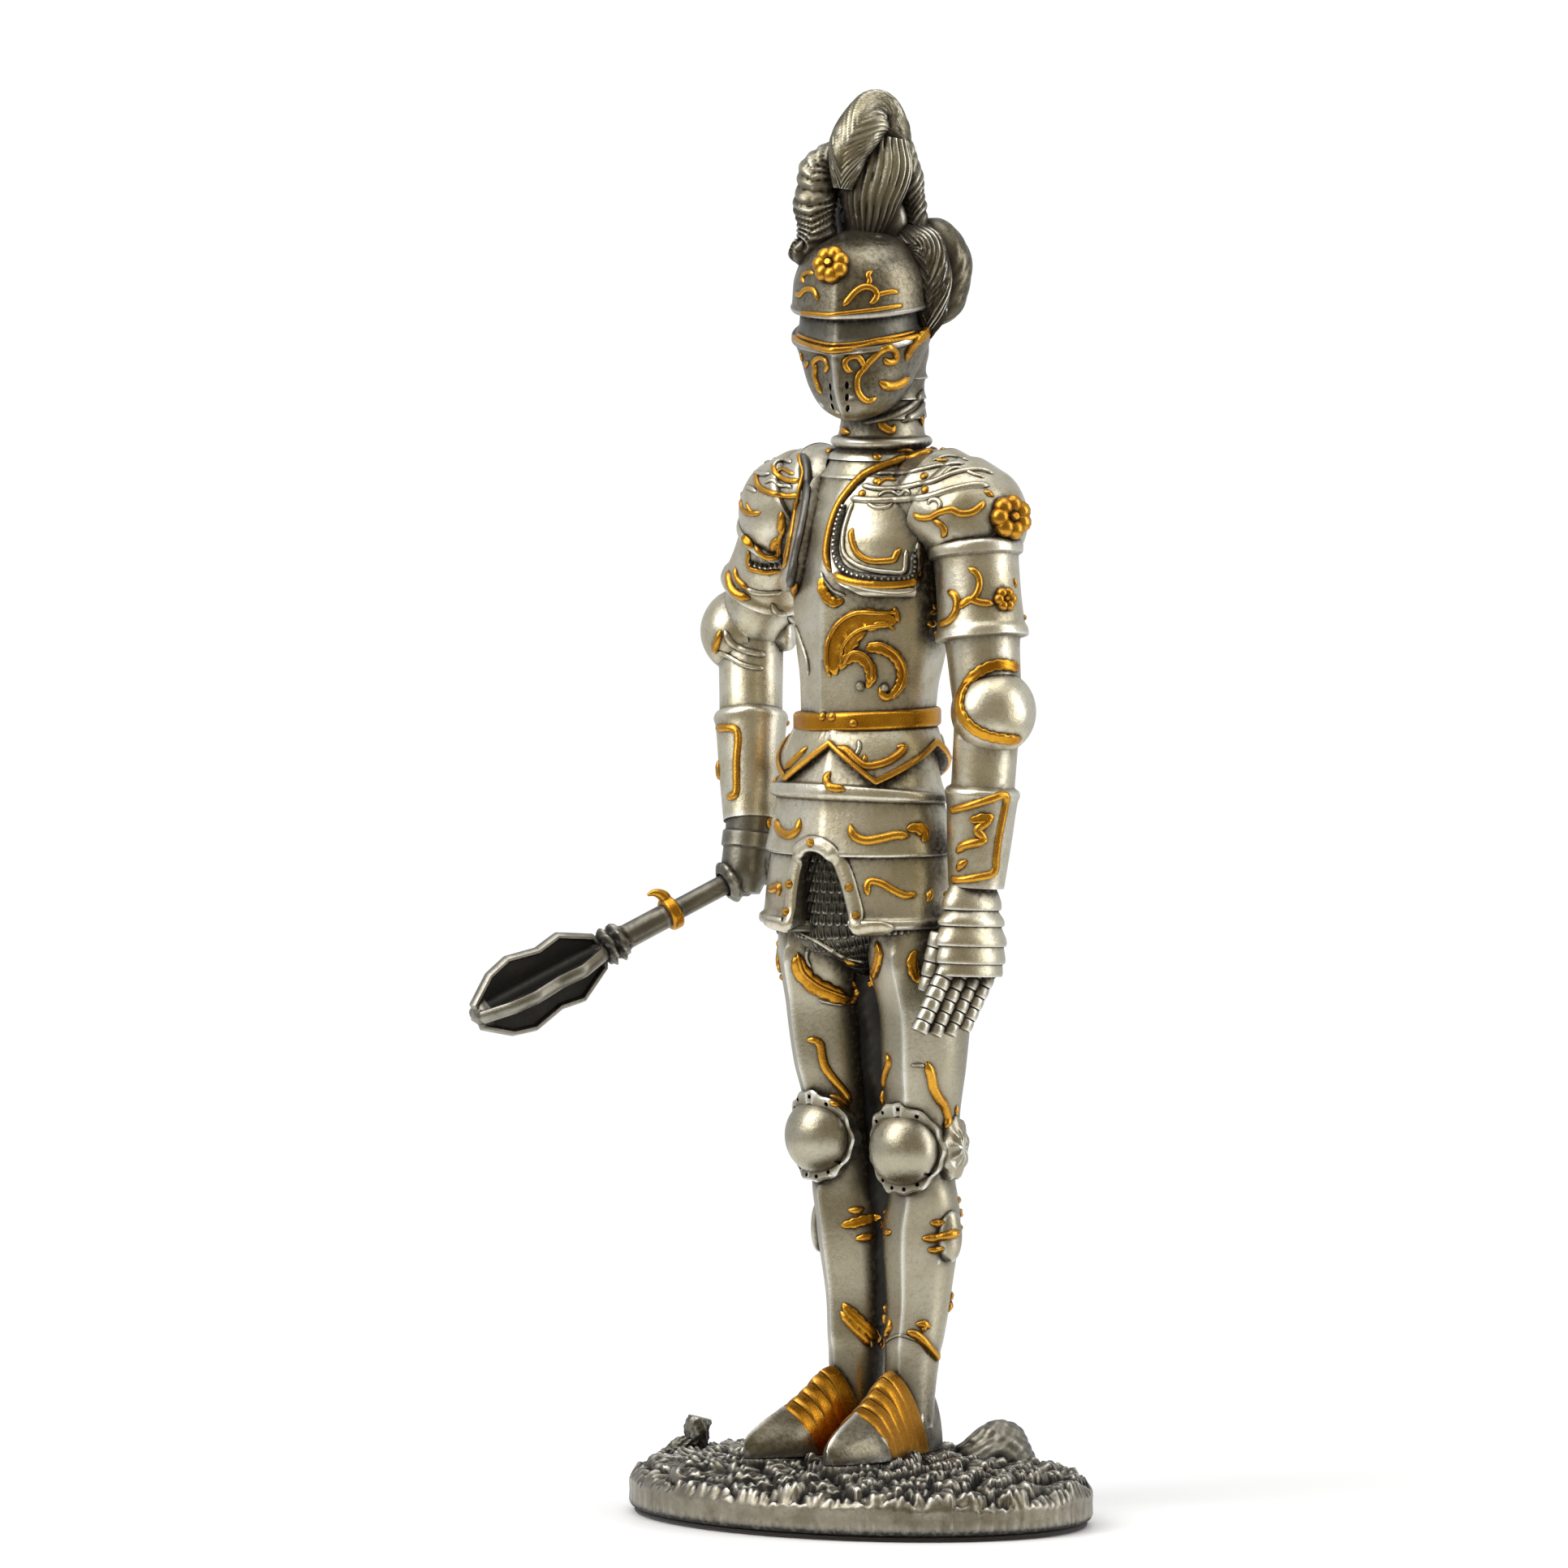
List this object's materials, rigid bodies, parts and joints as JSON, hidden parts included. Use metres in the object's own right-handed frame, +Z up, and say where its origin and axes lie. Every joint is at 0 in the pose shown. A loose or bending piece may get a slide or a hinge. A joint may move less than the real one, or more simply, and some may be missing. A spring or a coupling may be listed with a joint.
{
  "type": "medieval warrior figurine",
  "caption": "Cast pewter figurine of a knight in full plate armour with a plumed closed helmet, standing on an oval rocky base with a flanged mace in hand.",
  "frame": {"origin": "middle of the oval underside of the felt, on the surface that the figurine stands on", "axes": "+Z up through the figure, -Y the way the knight's body faces, +X to the knight's left"},
  "size_m": [0.071, 0.0564, 0.18],
  "materials": {
    "antique_pewter": "burnished cast pewter with dark patina in the recesses and amber gold paint on the raised ornament",
    "tarnished_pewter": "dark tarnished cast pewter, rubbed bright on the edges",
    "ground_pewter": "cast rough ground with a brown-black wash and bright rubbed tops",
    "felt": "thin black-brown felt"
  },
  "bodies": {
    "root": {"knight": "antique_pewter", "mace": "tarnished_pewter", "base": "ground_pewter", "felt_pad": "felt"}
  },
  "joints": []
}
